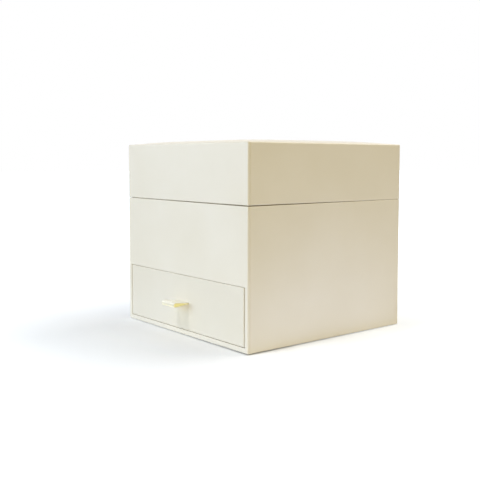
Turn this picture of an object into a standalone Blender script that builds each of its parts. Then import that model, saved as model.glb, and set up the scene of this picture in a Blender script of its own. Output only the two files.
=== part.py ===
# Rigid paper gift box with a lift-off padded lid and a drawer, built from greyboard, wrap and liner papers.
# Metres, +Z up. The origin is the middle of the base's underside, and the drawer's face looks along -Y.

import math

import bmesh
import bpy
from mathutils import Matrix, Vector

# The box as a whole
BOX_WIDTH = 0.1500  # left to right, over the wrap paper
BOX_DEPTH = 0.1500  # front to back, over the wrap paper
BASE_HEIGHT = 0.0966  # underside to the base's rim
LID_HEIGHT = 0.0414  # the lid's lower edge to its top edge
LID_CROWN = 0.0025  # how far padding lifts the middle of the lid's top
SEAM_GAP = 0.0003  # between the base's rim and the lid that rests on it

# Papers, boards and the glue line between them
WRAP_PAPER = 0.0004
LINER_PAPER = 0.0004
GREYBOARD = 0.0020
NECK_BOARD = 0.0015
DRAWER_BOARD = 0.0020
GLUE_GAP = 0.0003
TURN_IN = 0.0120  # how far a wrap is folded past an edge
WRAP_CORNER = 0.0009  # radius of an upright corner in the wrap
FOLD_CORNER = 0.0003  # radius of an upright corner inside
RIM_FOLD = 0.0006  # radius where the wrap goes over a board's edge
LID_EDGE = 0.0010  # radius of the lid's soft top edge
MOUTH_FOLD = 0.0003  # radius round the drawer's mouth

# The drawer and its bay
BAY_HEIGHT = 0.0402  # clear height inside the bay
DRAWER_SIDE_GAP = 0.0007
DRAWER_TOP_GAP = 0.0003
DRAWER_BACK_GAP = 0.0010
DRAWER_RUN_GAP = 0.0003  # under the drawer, on the bay's floor

# The neck that the lid goes over
NECK_RISE = 0.0180  # above the base's rim
NECK_GAP = 0.0005  # between the neck and the lid

# The lid's foam
PAD_EDGE = 0.0010  # thickness at its edge

# Gold ribbon pull
RIBBON_WIDTH = 0.0155
RIBBON_THICK = 0.0004
RIBBON_REACH = 0.0128  # out of the drawer's face
RIBBON_LOOP = 0.0032  # height of the folded end
RIBBON_SLOT = 0.0003  # between its two leaves where they pass the board
RIBBON_LEAF = 0.0065  # length glued flat behind the board
RIBBON_EASE = 0.0004  # at each end of the slit

# Velvet pieces
CUSHION_EDGE = 0.0100  # height of the compartment's cushion at its edge
CUSHION_CROWN = 0.0030
CUSHION_PULL = 0.0012  # how far its sides draw in between the corners
CUSHION_GAP = 0.0006  # to the neck on every side
CUSHION_CORNER = 0.0060
ROLL_COUNT = 6
ROLL_HEIGHT = 0.0180
ROLL_GAP = 0.0004  # between neighbouring rolls
ROLL_END_GAP = 0.0008  # from a roll's end to the drawer's side
ROLL_END = 0.0045  # length of a roll's rounded end

# How finely curves are stepped, and how far a cutter runs past what it cuts
CORNER_STEPS = 3
FOLD_STEPS = 3
RIBBON_STEPS = 6
OVERRUN = 0.0010

# Colour, roughness and metallic value of each finish
FINISHES = {
    "wrap": ((0.82, 0.79, 0.70), 0.42, 0.0),
    "liner": ((0.80, 0.76, 0.67), 0.60, 0.0),
    "greyboard": ((0.36, 0.33, 0.28), 0.90, 0.0),
    "foam": ((0.72, 0.70, 0.62), 0.95, 0.0),
    "velvet": ((0.56, 0.44, 0.31), 0.95, 0.0),
    "gold": ((0.80, 0.58, 0.17), 0.35, 0.6),
}

# Sizes that follow from the ones above
half_width = BOX_WIDTH / 2
half_depth = BOX_DEPTH / 2
board_inset = WRAP_PAPER + GLUE_GAP
liner_inset = board_inset + GREYBOARD + GLUE_GAP
wall = liner_inset + LINER_PAPER

bottom_board_low = board_inset
bottom_board_high = bottom_board_low + GREYBOARD
bay_floor = bottom_board_high + GLUE_GAP + LINER_PAPER
bay_ceiling = bay_floor + BAY_HEIGHT
shelf_low = bay_ceiling + LINER_PAPER + GLUE_GAP
shelf_high = shelf_low + GREYBOARD
compartment_floor = shelf_high + GLUE_GAP + LINER_PAPER
bay_half_width = half_width - wall

neck_inset = wall + NECK_GAP
neck_board_inset = neck_inset + LINER_PAPER + GLUE_GAP
neck_wall = LINER_PAPER + GLUE_GAP + NECK_BOARD + GLUE_GAP + LINER_PAPER
neck_inner_inset = neck_inset + neck_wall
neck_top = BASE_HEIGHT + NECK_RISE

lid_low = BASE_HEIGHT + SEAM_GAP
lid_high = lid_low + LID_HEIGHT
pad_low = lid_high - board_inset - PAD_EDGE
lid_board_high = pad_low - GLUE_GAP
lid_board_low = lid_board_high - GREYBOARD
lid_ceiling = lid_board_low - GLUE_GAP - LINER_PAPER

drawer_wall = WRAP_PAPER + GLUE_GAP + DRAWER_BOARD + GLUE_GAP + LINER_PAPER
drawer_half_width = bay_half_width - DRAWER_SIDE_GAP
drawer_front = -half_depth
drawer_back = half_depth - wall - DRAWER_BACK_GAP
drawer_half_depth = (drawer_back - drawer_front) / 2
drawer_middle = (drawer_back + drawer_front) / 2
drawer_low = bay_floor + DRAWER_RUN_GAP
drawer_high = bay_ceiling - DRAWER_TOP_GAP
drawer_board_low = drawer_low + board_inset
drawer_board_high = drawer_board_low + DRAWER_BOARD
drawer_floor = drawer_board_high + GLUE_GAP + LINER_PAPER
drawer_inner_half_width = drawer_half_width - drawer_wall
drawer_inner_half_depth = drawer_half_depth - drawer_wall

pull_height = (drawer_low + drawer_high) / 2
leaf_offset = (RIBBON_SLOT + RIBBON_THICK) / 2
slit_half_height = leaf_offset + RIBBON_THICK / 2 + GLUE_GAP
slit_half_width = RIBBON_WIDTH / 2 + RIBBON_EASE
front_board_inner = drawer_front + board_inset + DRAWER_BOARD
recess_depth = RIBBON_THICK + GLUE_GAP
recess_plane = front_board_inner - recess_depth
leaf_bend = RIBBON_THICK / 2 + GLUE_GAP

# Places along a side, as shares of its length, where a crowned sheet has points
side_shares = (0.04, 0.12, 0.28, 0.50, 0.72, 0.88, 0.96)
# Rings of the lid's top, as shares of its half width
crown_ring_shares = (0.955, 0.91, 0.84, 0.74, 0.60, 0.40)
crown_power = 6
slit_corner_share = 0.8
# How far a roll's rounded ends rise as they narrow, as a share of its height
roll_lift_share = 0.35


def clear_scene():
    for obj in list(bpy.data.objects):
        bpy.data.objects.remove(obj, do_unlink=True)


def new_collection(name, shown=True):
    collection = bpy.data.collections.new(name)
    collection.hide_render = not shown
    bpy.context.scene.collection.children.link(collection)
    return collection


def new_body(name, place):
    # A parent empty on the line that its pieces move along
    empty = bpy.data.objects.new(name, None)
    empty.location = place
    empty.empty_display_size = TURN_IN
    parts.objects.link(empty)
    return empty


def finish_material(name, finish):
    colour, roughness, metallic = FINISHES[finish]
    material = bpy.data.materials.new(name + "_" + finish)
    material.use_nodes = True
    shader = material.node_tree.nodes["Principled BSDF"]
    shader.inputs["Base Color"].default_value = (*colour, 1.0)
    shader.inputs["Roughness"].default_value = roughness
    shader.inputs["Metallic"].default_value = metallic
    material.diffuse_color = (*colour, 1.0)
    return material


def add_piece(name, mesh_data, body, finish, smooth_degrees=35):
    # The mesh comes in box coordinates and is kept in its body's, so that the origin is on the body's axis
    mesh_data.transform(Matrix.Translation(-body.location))
    mesh_data.shade_smooth()
    mesh_data.set_sharp_from_angle(angle=math.radians(smooth_degrees))
    obj = bpy.data.objects.new(name, mesh_data)
    obj.parent = body
    mesh_data.materials.append(finish_material(name, finish))
    parts.objects.link(obj)
    return obj


def add_cutter(name, mesh_data):
    obj = bpy.data.objects.new(name, mesh_data)
    obj.hide_render = True
    obj.display_type = "WIRE"
    cutters.objects.link(obj)
    return obj


def block_mesh(name, low, high):
    bm = bmesh.new()
    bmesh.ops.create_cube(bm, size=1.0)
    low, high = Vector(low), Vector(high)
    size = high - low
    bmesh.ops.scale(bm, vec=size, verts=bm.verts)
    bmesh.ops.translate(bm, vec=(low + high) / 2, verts=bm.verts)
    return mesh_from(bm, name)


def mesh_from(bm, name):
    data = bpy.data.meshes.new(name)
    bm.to_mesh(data)
    bm.free()
    return data


def board(name, low, high, body):
    return add_piece(name, block_mesh(name, low, high), body, "greyboard")


def mitred_frame(prefix, half_x, half_y, middle_y, thick, low, high, body):
    # Four boards round a rectangle, their upright ends cut at 45 degrees with a glue line between them
    end_cut = GLUE_GAP / math.sqrt(2)
    made = {}
    for quarter, side in enumerate(("right", "back", "left", "front")):
        across, along = (half_x, half_y) if quarter % 2 == 0 else (half_y, half_x)
        bm = bmesh.new()
        bmesh.ops.create_cube(bm, size=1.0)
        for vert in bm.verts:
            inner = vert.co.x < 0
            depth = thick if inner else 0.0
            reach = along - end_cut - depth
            vert.co.x = across - depth
            vert.co.y = math.copysign(reach, vert.co.y)
            vert.co.z = low if vert.co.z < 0 else high
        turn = Matrix.Rotation(quarter * math.pi / 2, 4, "Z")
        bmesh.ops.transform(bm, matrix=Matrix.Translation((0, middle_y, 0)) @ turn, verts=bm.verts)
        name = prefix + side + "_board"
        made[side] = add_piece(name, mesh_from(bm, name), body, "greyboard")
    return made


def ring(half_x, half_y, radius, shares=()):
    # Points of a rectangle with round corners, anticlockwise, with extra ones at shares of each side
    signs = ((1, 1), (-1, 1), (-1, -1), (1, -1))
    arcs = []
    for quarter, (sign_x, sign_y) in enumerate(signs):
        centre = Vector((sign_x * (half_x - radius), sign_y * (half_y - radius)))
        angles = [math.pi / 2 * (quarter + step / CORNER_STEPS) for step in range(CORNER_STEPS + 1)]
        arcs.append([centre + radius * Vector((math.cos(a), math.sin(a))) for a in angles])
    points = []
    for quarter, arc in enumerate(arcs):
        following = arcs[(quarter + 1) % 4][0]
        points += arc
        points += [arc[-1].lerp(following, share) for share in shares]
    return points


def arc(centre_inset, centre_height, radius, from_degrees, to_degrees):
    # Section points (inset, height) along a fold
    points = []
    for step in range(FOLD_STEPS + 1):
        angle = math.radians(from_degrees + (to_degrees - from_degrees) * step / FOLD_STEPS)
        points.append((centre_inset + radius * math.cos(angle), centre_height + radius * math.sin(angle)))
    return points


def swept_rings(section, half_x, half_y, corner, shares=()):
    # The section (inset, height) carried round the rectangle
    rings = []
    for inset, height in section:
        radius = max(corner - inset, FOLD_CORNER)
        flat = ring(half_x - inset, half_y - inset, radius, shares)
        rings.append([Vector((p.x, p.y, height)) for p in flat])
    return rings


def loft_mesh(name, rings, close_first=False, close_last=False, place=Matrix.Identity(4)):
    bm = bmesh.new()
    rows = [[bm.verts.new(place @ point) for point in points] for points in rings]
    count = len(rows[0])
    for lower, upper in zip(rows, rows[1:]):
        for i in range(count):
            j = (i + 1) % count
            bm.faces.new((lower[i], lower[j], upper[j], upper[i]))
    if close_first:
        bm.faces.new(list(reversed(rows[0])))
    if close_last:
        bm.faces.new(rows[-1])
    return mesh_from(bm, name)


def thicken(obj, thickness, offset=-1.0):
    solidify = obj.modifiers.new("paper", "SOLIDIFY")
    solidify.thickness = thickness
    solidify.offset = offset
    solidify.use_even_offset = True
    solidify.use_quality_normals = True
    return obj


def combine(obj, other, operation):
    boolean = obj.modifiers.new(operation.lower(), "BOOLEAN")
    boolean.operation = operation
    boolean.solver = "EXACT"
    boolean.object = other
    return obj


def soften(obj, levels=1):
    subsurf = obj.modifiers.new("soft", "SUBSURF")
    subsurf.levels = levels
    subsurf.render_levels = levels
    return obj


def crown_height(x, y, half_x, half_y):
    # The padded top: nearly level in the middle, falling fast towards the edges
    return (1 - abs(x / half_x) ** crown_power) * (1 - abs(y / half_y) ** crown_power)


# Turns a loft that is built up +Z so that it is built towards the front, -Y
FACING_FRONT = Matrix(((1, 0, 0, 0), (0, 0, -1, 0), (0, 1, 0, 0), (0, 0, 0, 1)))


def mouth_place():
    return Matrix.Translation((0, 0, (bay_floor + bay_ceiling) / 2)) @ FACING_FRONT


def make_base_wrap():
    fold = RIM_FOLD
    section = [(TURN_IN, 0)]
    section += arc(fold, fold, fold, -90, -180)
    section += arc(fold, BASE_HEIGHT - fold, fold, 180, 90)
    section += arc(wall - fold, BASE_HEIGHT - fold, fold, 90, 0)
    section.append((wall, BASE_HEIGHT - TURN_IN))
    rings = swept_rings(section, half_width, half_depth, WRAP_CORNER)
    wrap = add_piece("base_wrap", loft_mesh("base_wrap", rings), base, "wrap")
    thicken(wrap, WRAP_PAPER)
    combine(wrap, mouth_collar(), "UNION")
    combine(wrap, mouth_cutter(), "DIFFERENCE")


def mouth_collar():
    # The block that becomes the wrap's turn-in round the drawer's mouth, once the mouth is cut through it
    low = (-bay_half_width - WRAP_PAPER, -half_depth + WRAP_PAPER / 2, bay_floor - WRAP_PAPER)
    high = (bay_half_width + WRAP_PAPER, -half_depth + TURN_IN, bay_ceiling + WRAP_PAPER)
    return add_cutter("mouth_collar", block_mesh("mouth_collar", low, high))


def mouth_cutter():
    # The mouth, with its edges rolled out where the paper turns in
    face = half_depth - MOUTH_FOLD
    outline = [(0, face - TURN_IN)]
    for step in range(FOLD_STEPS + 1):
        angle = math.pi / 2 * step / FOLD_STEPS
        outline.append((MOUTH_FOLD * (1 - math.cos(angle)), face + MOUTH_FOLD * math.sin(angle)))
    outline.append((MOUTH_FOLD, half_depth + OVERRUN))
    rings = []
    for spread, depth in outline:
        flat = ring(bay_half_width + spread, BAY_HEIGHT / 2 + spread, FOLD_CORNER + spread)
        rings.append([Vector((p.x, p.y, depth)) for p in flat])
    return add_cutter("mouth", loft_mesh("mouth", rings, True, True, mouth_place()))


def make_base_boards():
    out_x = half_width - board_inset
    out_y = half_depth - board_inset
    in_x = out_x - GREYBOARD
    in_y = out_y - GREYBOARD
    rest = bottom_board_high + GLUE_GAP
    rim = BASE_HEIGHT - board_inset
    between = in_x - GLUE_GAP
    board("base_bottom_board", (-out_x, -out_y, bottom_board_low), (out_x, out_y, bottom_board_high), base)
    board("base_left_board", (-out_x, -out_y, rest), (-in_x, out_y, rim), base)
    board("base_right_board", (in_x, -out_y, rest), (out_x, out_y, rim), base)
    board("base_back_board", (-between, in_y, rest), (between, out_y, rim), base)
    board("base_front_board", (-between, -out_y, shelf_low), (between, -in_y, rim), base)
    shelf_y = in_y - GLUE_GAP
    board("shelf_board", (-between, -shelf_y, shelf_low), (between, shelf_y, shelf_high), base)


def make_bottom_sheet():
    half_x = half_width - TURN_IN - GLUE_GAP
    half_y = half_depth - TURN_IN - GLUE_GAP
    mesh_data = block_mesh("base_bottom_sheet", (-half_x, -half_y, 0), (half_x, half_y, WRAP_PAPER))
    add_piece("base_bottom_sheet", mesh_data, base, "liner")


def make_bay_liner():
    # A paper tray lying on its back, open to the front behind the wrap's turn-in
    fold = FOLD_CORNER
    front = half_depth - TURN_IN - GLUE_GAP
    back = -half_depth + wall
    section = [(0, front)]
    section += arc(fold, back + fold, fold, 180, 270)
    rings = swept_rings(section, bay_half_width, BAY_HEIGHT / 2, FOLD_CORNER)
    mesh_data = loft_mesh("bay_liner", rings, close_last=True, place=mouth_place())
    liner = add_piece("bay_liner", mesh_data, base, "liner")
    thicken(liner, LINER_PAPER)


def make_neck():
    out_x = half_width - neck_board_inset
    out_y = half_depth - neck_board_inset
    low = shelf_high + GLUE_GAP
    high = neck_top - LINER_PAPER - GLUE_GAP
    mitred_frame("neck_", out_x, out_y, 0, NECK_BOARD, low, high, base)
    fold = RIM_FOLD
    section = [(neck_inset, low)]
    section += arc(neck_inset + fold, neck_top - fold, fold, 180, 90)
    section += arc(neck_inner_inset - fold, neck_top - fold, fold, 90, 0)
    section.append((neck_inner_inset, compartment_floor + GLUE_GAP))
    rings = swept_rings(section, half_width, half_depth, WRAP_CORNER)
    wrap = add_piece("neck_wrap", loft_mesh("neck_wrap", rings), base, "liner")
    thicken(wrap, LINER_PAPER)


def make_compartment_floor():
    half_x = half_width - neck_board_inset - NECK_BOARD - GLUE_GAP
    half_y = half_depth - neck_board_inset - NECK_BOARD - GLUE_GAP
    low = (-half_x, -half_y, compartment_floor - LINER_PAPER)
    high = (half_x, half_y, compartment_floor)
    mesh_data = block_mesh("compartment_floor_liner", low, high)
    add_piece("compartment_floor_liner", mesh_data, base, "liner")


def cushion_ring(half_x, half_y, corner, pull, height):
    # A ring whose sides draw in between its corners
    points = []
    for p in ring(half_x, half_y, corner, (0.25, 0.5, 0.75)):
        across = pull * (1 - (p.y / half_y) ** 2)
        along = pull * (1 - (p.x / half_x) ** 2)
        x = p.x - math.copysign(across, p.x) * abs(p.x / half_x) ** 4
        y = p.y - math.copysign(along, p.y) * abs(p.y / half_y) ** 4
        points.append(Vector((x, y, height)))
    return points


def make_cushion():
    # A crowned velvet pad, flat where it lies on the compartment's floor
    half_x = half_width - neck_inner_inset - CUSHION_GAP
    half_y = half_depth - neck_inner_inset - CUSHION_GAP
    low = compartment_floor + GLUE_GAP
    # (share of the half width, share of the edge's height)
    side_level_shares = ((0.90, 0.0), (0.965, 0.03), (1.0, 0.35), (1.0, 0.70), (0.965, 0.97))
    crown_level_shares = (0.90, 0.78, 0.55, 0.28)
    rings = []
    for share, level in side_level_shares:
        rings.append(
            cushion_ring(share * half_x, share * half_y, CUSHION_CORNER, CUSHION_PULL, low + level * CUSHION_EDGE)
        )
    for share in crown_level_shares:
        points = cushion_ring(share * half_x, share * half_y, share * CUSHION_CORNER, share * CUSHION_PULL, 0)
        for p in points:
            p.z = low + CUSHION_EDGE + CUSHION_CROWN * (1 - (p.x / half_x) ** 2) * (1 - (p.y / half_y) ** 2)
        rings.append(points)
    mesh_data = loft_mesh("compartment_cushion", rings, True, True)
    soften(add_piece("compartment_cushion", mesh_data, base, "velvet", 180))


def make_lid_wrap():
    fold = RIM_FOLD
    edge = LID_EDGE
    section = [(wall, lid_low + TURN_IN)]
    section += arc(wall - fold, lid_low + fold, fold, 0, -90)
    section += arc(fold, lid_low + fold, fold, -90, -180)
    section += arc(edge, lid_high - edge, edge, 180, 90)
    rings = swept_rings(section, half_width, half_depth, WRAP_CORNER, side_shares)
    for share in crown_ring_shares:
        flat = ring(share * half_width, share * half_depth, share * edge, side_shares)
        rings.append([Vector((p.x, p.y, lid_high)) for p in flat])
    for points in rings[-len(crown_ring_shares) - 1 :]:
        for p in points:
            p.z += LID_CROWN * crown_height(p.x, p.y, half_width, half_depth)
    wrap = add_piece("lid_wrap", loft_mesh("lid_wrap", rings, close_last=True), lid, "wrap")
    thicken(wrap, WRAP_PAPER)


def make_lid_pad():
    # Thin foam between the top board and the wrap
    inset = LID_EDGE + GLUE_GAP
    top = lid_high - board_inset
    half_x = half_width - inset
    half_y = half_depth - inset
    flat = ring(half_x, half_y, FOLD_CORNER, side_shares)
    rings = [[Vector((p.x, p.y, pad_low)) for p in flat]]
    for share in (1.0, *crown_ring_shares):
        flat = ring(share * half_x, share * half_y, share * FOLD_CORNER, side_shares)
        lifted = [LID_CROWN * crown_height(p.x, p.y, half_width, half_depth) for p in flat]
        rings.append([Vector((p.x, p.y, top + rise)) for p, rise in zip(flat, lifted)])
    add_piece("lid_pad", loft_mesh("lid_pad", rings, True, True), lid, "foam")


def make_lid_boards():
    out_x = half_width - board_inset
    out_y = half_depth - board_inset
    board("lid_top_board", (-out_x, -out_y, lid_board_low), (out_x, out_y, lid_board_high), lid)
    low = lid_low + board_inset
    mitred_frame("lid_", out_x, out_y, 0, GREYBOARD, low, lid_board_low - GLUE_GAP, lid)


def make_lid_liner():
    # Ceiling and walls, down to where the wrap's turn-in ends
    fold = FOLD_CORNER
    section = arc(wall + fold, lid_ceiling - fold, fold, 90, 180)
    section.append((wall, lid_low + TURN_IN + GLUE_GAP))
    rings = swept_rings(section, half_width, half_depth, WRAP_CORNER)
    liner = add_piece("lid_liner", loft_mesh("lid_liner", rings, close_first=True), lid, "liner")
    thicken(liner, LINER_PAPER)


def at_drawer(points_list):
    return [[p + Vector((0, drawer_middle, 0)) for p in points] for points in points_list]


def make_drawer_wrap(slit):
    fold = RIM_FOLD
    section = arc(fold, drawer_low + fold, fold, -90, -180)
    section += arc(fold, drawer_high - fold, fold, 180, 90)
    section += arc(drawer_wall - fold, drawer_high - fold, fold, 90, 0)
    section.append((drawer_wall, drawer_high - TURN_IN))
    rings = at_drawer(swept_rings(section, drawer_half_width, drawer_half_depth, WRAP_CORNER))
    wrap = add_piece("drawer_wrap", loft_mesh("drawer_wrap", rings, close_first=True), drawer, "wrap")
    thicken(wrap, WRAP_PAPER)
    combine(wrap, slit, "DIFFERENCE")


def slit_cutter():
    # The slot that the ribbon passes, through the wrap and the front board
    flat = ring(slit_half_width, slit_half_height, slit_corner_share * slit_half_height)
    depths = (-recess_plane - OVERRUN, -drawer_front + OVERRUN)
    rings = [[Vector((p.x, p.y, depth)) for p in flat] for depth in depths]
    place = Matrix.Translation((0, 0, pull_height)) @ FACING_FRONT
    return add_cutter("slit", loft_mesh("slit", rings, True, True, place))


def recess_cutter():
    # A shallow pressing in the back of the front board, where the ribbon's ends are glued
    half_height = slit_half_height + RIBBON_LEAF + GLUE_GAP
    low = (-slit_half_width, recess_plane, pull_height - half_height)
    high = (slit_half_width, front_board_inner + OVERRUN, pull_height + half_height)
    return add_cutter("ribbon_recess", block_mesh("ribbon_recess", low, high))


def make_drawer_boards(slit):
    out_x = drawer_half_width - board_inset
    out_y = drawer_half_depth - board_inset
    low = (-out_x, drawer_middle - out_y, drawer_board_low)
    high = (out_x, drawer_middle + out_y, drawer_board_high)
    board("drawer_bottom_board", low, high, drawer)
    rest = drawer_board_high + GLUE_GAP
    rim = drawer_high - board_inset
    walls = mitred_frame("drawer_", out_x, out_y, drawer_middle, DRAWER_BOARD, rest, rim, drawer)
    combine(walls["front"], slit, "DIFFERENCE")
    combine(walls["front"], recess_cutter(), "DIFFERENCE")


def make_drawer_liner():
    fold = FOLD_CORNER
    section = [(drawer_wall, drawer_high - TURN_IN - GLUE_GAP)]
    section += arc(drawer_wall + fold, drawer_floor + fold, fold, 180, 270)
    rings = at_drawer(swept_rings(section, drawer_half_width, drawer_half_depth, WRAP_CORNER))
    mesh_data = loft_mesh("drawer_liner", rings, close_last=True)
    liner = add_piece("drawer_liner", mesh_data, drawer, "liner")
    thicken(liner, LINER_PAPER)


def ribbon_path():
    # Upper half of the ribbon's line as (y, height over the slit's middle), from the glued end to the fold
    bend_centre = (recess_plane, slit_half_height)
    points = [(recess_plane + leaf_bend, slit_half_height + RIBBON_LEAF)]
    for step in range(RIBBON_STEPS + 1):
        angle = math.pi / 2 * step / RIBBON_STEPS
        points.append((bend_centre[0] + leaf_bend * math.cos(angle), bend_centre[1] - leaf_bend * math.sin(angle)))
    loop_radius = (RIBBON_LOOP - RIBBON_THICK) / 2
    loop_centre = drawer_front - RIBBON_REACH + RIBBON_THICK / 2 + loop_radius
    for step in range(RIBBON_STEPS + 1):
        share = step / RIBBON_STEPS
        swell = (1 - math.cos(math.pi * share)) / 2
        y = drawer_front + (loop_centre - drawer_front) * share
        points.append((y, leaf_offset + (loop_radius - leaf_offset) * swell))
    for step in range(1, RIBBON_STEPS + 1):
        angle = math.pi / 2 * step / RIBBON_STEPS
        points.append((loop_centre - loop_radius * math.sin(angle), loop_radius * math.cos(angle)))
    return points


def make_ribbon_pull():
    # One length of ribbon folded into a flat loop, both ends turned away behind the board
    upper = ribbon_path()
    lower = [(y, -rise) for y, rise in reversed(upper[:-1])]
    line = upper + lower
    bm = bmesh.new()
    rows = []
    for y, rise in line:
        rows.append([bm.verts.new((side * RIBBON_WIDTH / 2, y, pull_height + rise)) for side in (-1, 1)])
    for first, second in zip(rows, rows[1:]):
        bm.faces.new((first[0], first[1], second[1], second[0]))
    pull = add_piece("ribbon_pull", mesh_from(bm, "ribbon_pull"), drawer, "gold", 60)
    thicken(pull, RIBBON_THICK, 0.0)


def roll_section(half, height):
    # Half a roll's outline as (across, up), from the middle of its flat underside to the middle of its top
    outline_shares = ((0.0, 0.0), (0.62, 0.0), (0.92, 0.06), (1.0, 0.32), (0.90, 0.68), (0.55, 0.93), (0.0, 1.0))
    right = [(half * across, height * up) for across, up in outline_shares]
    left = [(-across, up) for across, up in reversed(right[1:-1])]
    return right + left


def make_ring_rolls():
    # Velvet rolls side by side, which hold rings in the pinch between them
    low = drawer_floor + GLUE_GAP
    pitch = 2 * drawer_inner_half_depth / ROLL_COUNT
    half = (pitch - ROLL_GAP) / 2
    reach = drawer_inner_half_width - ROLL_END_GAP
    # (share of the rounded end's length in from the tip, share of the section)
    end_shares = ((0.0, 0.55), (0.12, 0.80), (0.45, 0.95), (1.0, 1.0))
    stations = [(-reach + ROLL_END * along, size) for along, size in end_shares]
    stations += [(reach - ROLL_END * along, size) for along, size in reversed(end_shares)]
    for index in range(ROLL_COUNT):
        middle = drawer_middle - drawer_inner_half_depth + pitch * (index + 0.5)
        rings = []
        for x, size in stations:
            outline = roll_section(half * size, ROLL_HEIGHT)
            lift = (1 - size) * ROLL_HEIGHT * roll_lift_share
            rings.append([Vector((x, middle + across, low + lift + up * size)) for across, up in outline])
        name = "ring_roll_" + str(index + 1)
        mesh_data = loft_mesh(name, rings, True, True)
        soften(add_piece(name, mesh_data, drawer, "velvet", 180))


clear_scene()
parts = new_collection("paper_jewelry_gift_box")
cutters = new_collection("cutters", shown=False)
base = new_body("base", (0, 0, 0))
lid = new_body("lid", (0, 0, lid_low))
drawer = new_body("drawer", (0, drawer_front, pull_height))

make_bottom_sheet()
make_base_wrap()
make_base_boards()
make_bay_liner()
make_neck()
make_compartment_floor()
make_cushion()
make_lid_wrap()
make_lid_pad()
make_lid_boards()
make_lid_liner()
ribbon_slit = slit_cutter()
make_drawer_wrap(ribbon_slit)
make_drawer_boards(ribbon_slit)
make_drawer_liner()
make_ribbon_pull()
make_ring_rolls()
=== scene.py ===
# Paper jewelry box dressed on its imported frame: pearl paper, folded gold ribbon, velvet and foam.
# Metres, +Z up. The drawer's face looks along -Y.
import math

import bmesh
import bpy
from mathutils import Matrix, Vector, noise


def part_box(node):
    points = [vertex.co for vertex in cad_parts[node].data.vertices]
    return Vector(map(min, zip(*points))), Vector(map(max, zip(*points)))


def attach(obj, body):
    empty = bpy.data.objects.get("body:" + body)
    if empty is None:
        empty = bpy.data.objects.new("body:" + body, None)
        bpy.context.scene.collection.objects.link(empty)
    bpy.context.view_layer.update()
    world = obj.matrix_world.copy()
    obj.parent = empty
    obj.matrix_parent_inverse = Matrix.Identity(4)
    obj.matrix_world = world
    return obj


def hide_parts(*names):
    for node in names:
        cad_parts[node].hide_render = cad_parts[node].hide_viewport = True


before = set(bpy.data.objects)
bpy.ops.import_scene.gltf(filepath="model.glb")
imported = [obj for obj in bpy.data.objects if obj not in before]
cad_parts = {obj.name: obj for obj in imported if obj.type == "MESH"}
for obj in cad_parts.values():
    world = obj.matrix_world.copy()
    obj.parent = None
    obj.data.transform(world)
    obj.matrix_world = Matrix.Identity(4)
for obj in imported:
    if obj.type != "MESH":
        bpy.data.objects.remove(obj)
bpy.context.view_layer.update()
scene = bpy.context.scene
scene.view_settings.view_transform = "Standard"
print("frame loaded")


# Small tools that every piece uses

def srgb(red, green, blue):
    # A colour as a paint program shows it, 0 to 255, in Blender's linear values
    parts = []
    for value in (red, green, blue):
        share = value / 255
        parts.append(share / 12.92 if share <= 0.04045 else ((share + 0.055) / 1.055) ** 2.4)
    return (*parts, 1.0)


def addNode(tree, kind, inputs=None, **settings):
    node = tree.nodes.new(kind)
    for key, value in settings.items():
        setattr(node, key, value)
    for key, value in (inputs or {}).items():
        if isinstance(value, bpy.types.NodeSocket):
            tree.links.new(value, node.inputs[key])
        else:
            node.inputs[key].default_value = value
    return node


def newMaterial(name):
    material = bpy.data.materials.new(name)
    material.use_nodes = True
    return material, material.node_tree, material.node_tree.nodes["Principled BSDF"]


def setShader(shader, values):
    for key, value in values.items():
        shader.inputs[key].default_value = value


def noiseAt(tree, place, scale, detail=2.0, roughness=0.5, stretch=None):
    # Noise in the piece's own metres, stretched along an axis where the grain runs that way
    if stretch:
        mapping = {"Vector": place, "Scale": stretch}
        place = addNode(tree, "ShaderNodeMapping", mapping).outputs["Vector"]
    inputs = {"Vector": place, "Scale": scale, "Detail": detail, "Roughness": roughness}
    return addNode(tree, "ShaderNodeTexNoise", inputs).outputs["Fac"]


def ownPlace(tree):
    return addNode(tree, "ShaderNodeTexCoord").outputs["Object"]


def calculate(tree, operation, first, second):
    return addNode(tree, "ShaderNodeMath", {0: first, 1: second}, operation=operation).outputs["Value"]


def spread(tree, value, low, high, toLow, toHigh):
    made = addNode(tree, "ShaderNodeMapRange", {
        "Value": value, "From Min": low, "From Max": high, "To Min": toLow, "To Max": toHigh,
    })
    return made.outputs["Result"]


noiseSpan = (0.3, 0.7)  # nearly all of a noise's values lie in here


def sumOf(tree, first, second):
    # Two patterns added up, each given as (pattern, its span, its share)
    parts = [spread(tree, pattern, *span, 0.0, share) for pattern, span, share in (first, second)]
    return calculate(tree, "ADD", *parts)


def blendColours(tree, factor, first, second):
    made = addNode(tree, "ShaderNodeMix", data_type="RGBA")
    for socket, value in ((made.inputs[0], factor), (made.inputs[6], first), (made.inputs[7], second)):
        if isinstance(value, bpy.types.NodeSocket):
            tree.links.new(value, socket)
        else:
            socket.default_value = value
    return made.outputs[2]


def bumpFrom(tree, height, distance, before=None):
    inputs = {"Height": height, "Distance": distance, "Strength": 1.0}
    if before:
        inputs["Normal"] = before
    return addNode(tree, "ShaderNodeBump", inputs).outputs["Normal"]


def newPiece(name, bm):
    data = bpy.data.meshes.new(name)
    bm.to_mesh(data)
    bm.free()
    piece = bpy.data.objects.new(name, data)
    scene.collection.objects.link(piece)
    return piece


def applyModifiers(piece):
    graph = bpy.context.evaluated_depsgraph_get()
    data = bpy.data.meshes.new_from_object(piece.evaluated_get(graph))
    piece.modifiers.clear()
    piece.data = data


def thicken(piece, thickness, offset=-1.0):
    solidify = piece.modifiers.new("paper", "SOLIDIFY")
    solidify.thickness = thickness
    solidify.offset = offset
    solidify.use_even_offset = True
    solidify.use_quality_normals = True
    applyModifiers(piece)


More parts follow.
